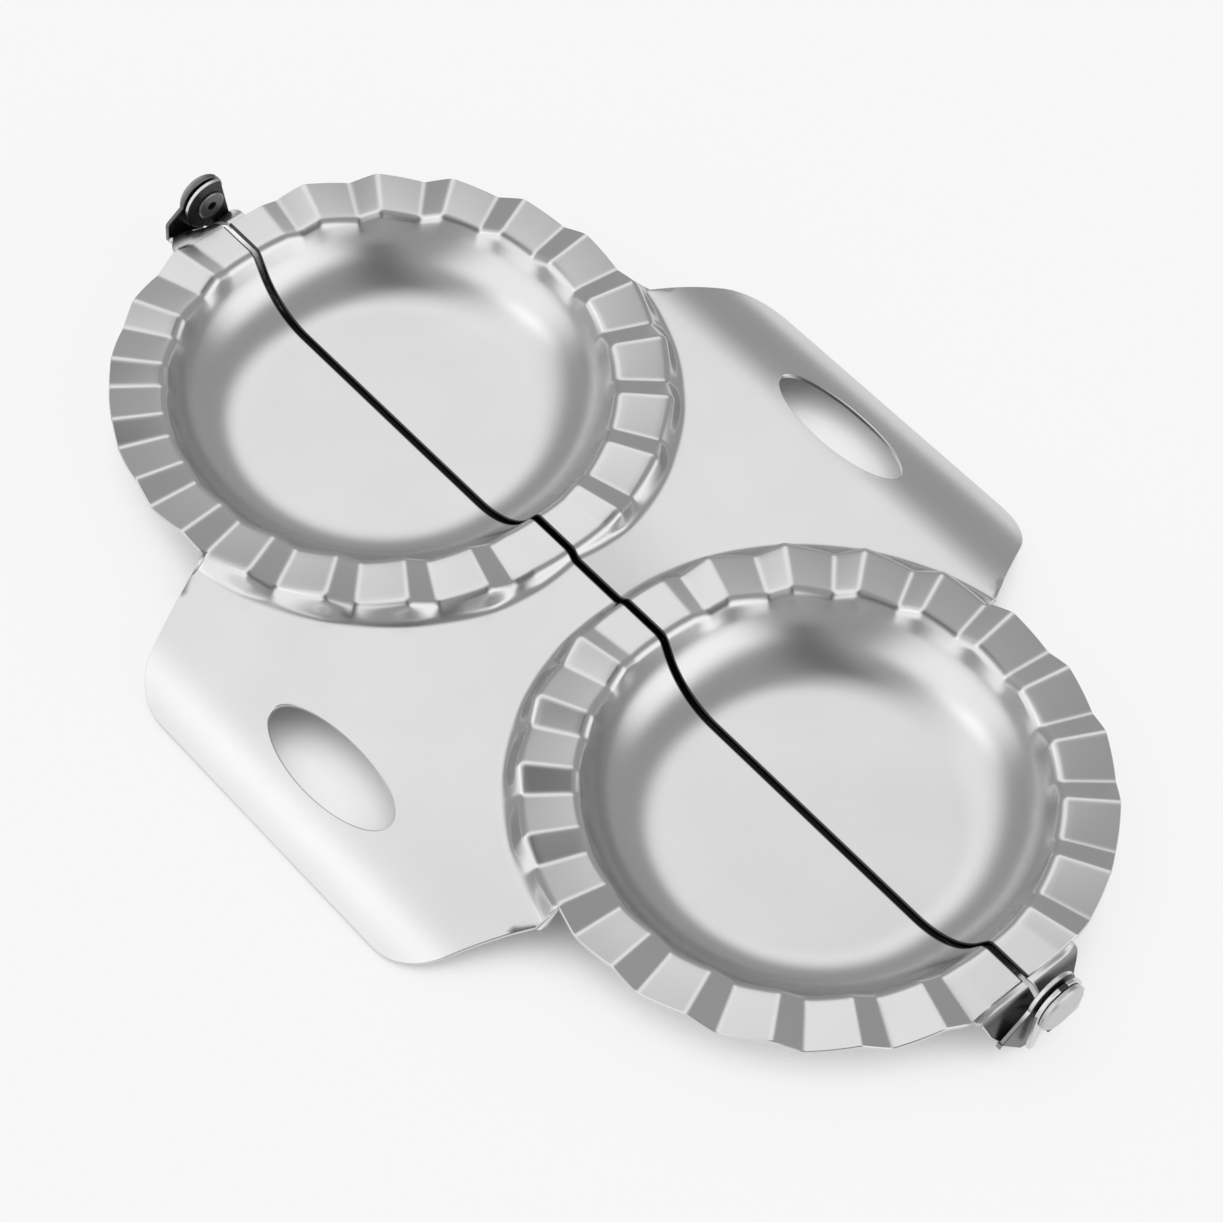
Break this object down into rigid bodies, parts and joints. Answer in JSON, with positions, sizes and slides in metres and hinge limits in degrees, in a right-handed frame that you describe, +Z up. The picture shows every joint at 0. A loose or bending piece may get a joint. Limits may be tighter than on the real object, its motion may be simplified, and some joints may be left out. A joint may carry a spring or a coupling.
{
  "type": "empanada press",
  "caption": "Stainless-steel empanada press: bowls with crimped rims stamped into hinged plates with oval finger holes, lying open and flat; the plates fold together to seal round pasties.",
  "frame": {"origin": "centre of the open press, on the table it lies on", "axes": "+Y along the hinge, +X across it towards the plate that folds over, +Z up"},
  "size_m": [0.1344, 0.206, 0.0166],
  "materials": {
    "sheet": "satin stainless sheet with fine rolling grain",
    "rivet": "plain stainless, slightly dull"
  },
  "bodies": {
    "left": {"left_plate": "sheet", "front_rivet": "rivet", "rear_rivet": "rivet", "front_washer": "rivet", "rear_washer": "rivet"},
    "right": {"right_plate": "sheet"}
  },
  "joints": [
    {"name": "hinge", "type": "hinge", "parent": "left", "child": "right", "pos_m": [0, 0, 0.0118], "axis": [0, -1, 0], "range_deg": [0, 180]}
  ]
}
